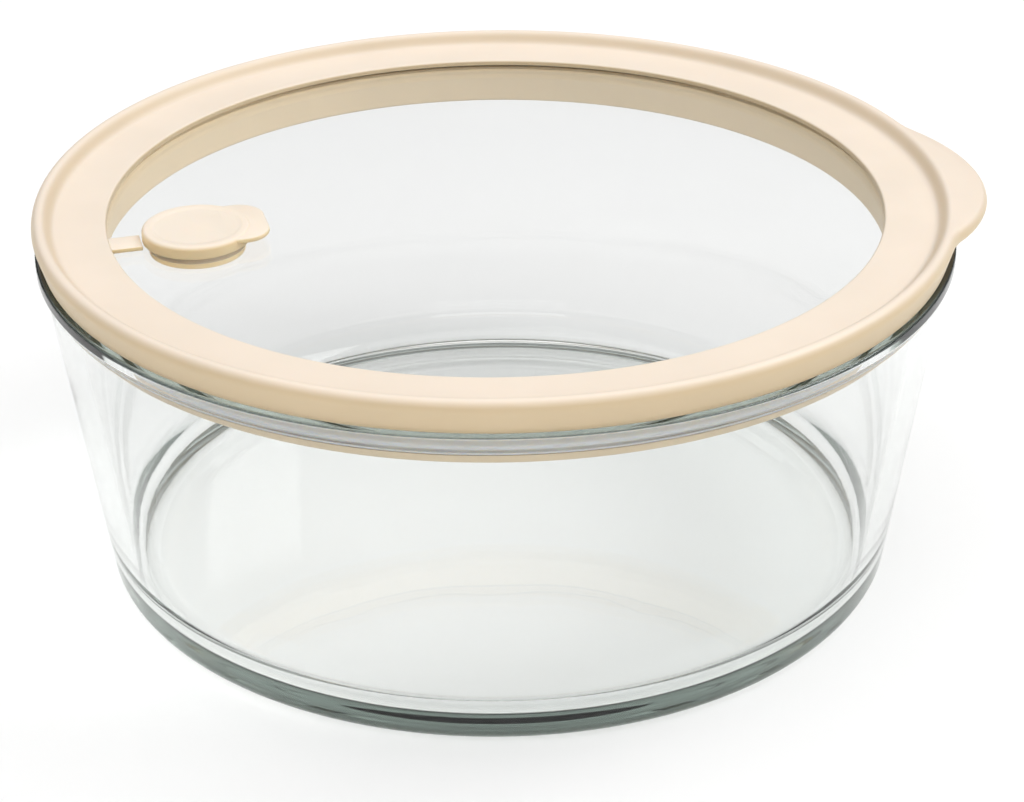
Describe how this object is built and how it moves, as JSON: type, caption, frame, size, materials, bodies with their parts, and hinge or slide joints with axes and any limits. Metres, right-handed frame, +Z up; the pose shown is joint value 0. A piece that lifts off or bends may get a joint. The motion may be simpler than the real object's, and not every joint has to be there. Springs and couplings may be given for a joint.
{
  "type": "glass storage container",
  "caption": "Round clear glass food container with a cream press-on lid, clear window panel, pull tab and flip-open steam vent.",
  "frame": {"origin": "centre of the bowl's flat underside, on the bowl's axis", "axes": "+Z up along the bowl's axis; +X towards the lid's pull tab (tab centre 2 degrees from +X)"},
  "size_m": [0.2143, 0.2072, 0.0872],
  "materials": {
    "bowl_glass": "clear pressed soda-lime glass, faint green tint",
    "panel_clear": "clear flat panel, polished",
    "lid_cream": "cream moulded polypropylene, fine satin",
    "retainer_cream": "cream moulded polypropylene, satin",
    "vent_silicone": "cream silicone, matt",
    "seal_silicone": "milky silicone, matt"
  },
  "bodies": {
    "bowl": {"glass_bowl": "bowl_glass"},
    "lid": {"lid_rim": "lid_cream", "lid_panel": "panel_clear", "panel_retainer": "retainer_cream", "seal_gasket": "seal_silicone", "vent_seat": "vent_silicone", "vent_strap": "vent_silicone"},
    "vent_flap": {"vent_cap": "vent_silicone"}
  },
  "joints": [
    {"name": "lid_lift", "type": "slide", "parent": "bowl", "child": "lid", "axis": [0, 0, 1], "range_m": [0, 0.1]},
    {"name": "vent_hinge", "type": "hinge", "parent": "lid", "child": "vent_flap", "pos_m": [-0.07742, -0.02074, 0.0842], "axis": [0.2588, -0.9659, 0], "range_deg": [0, 100]}
  ]
}
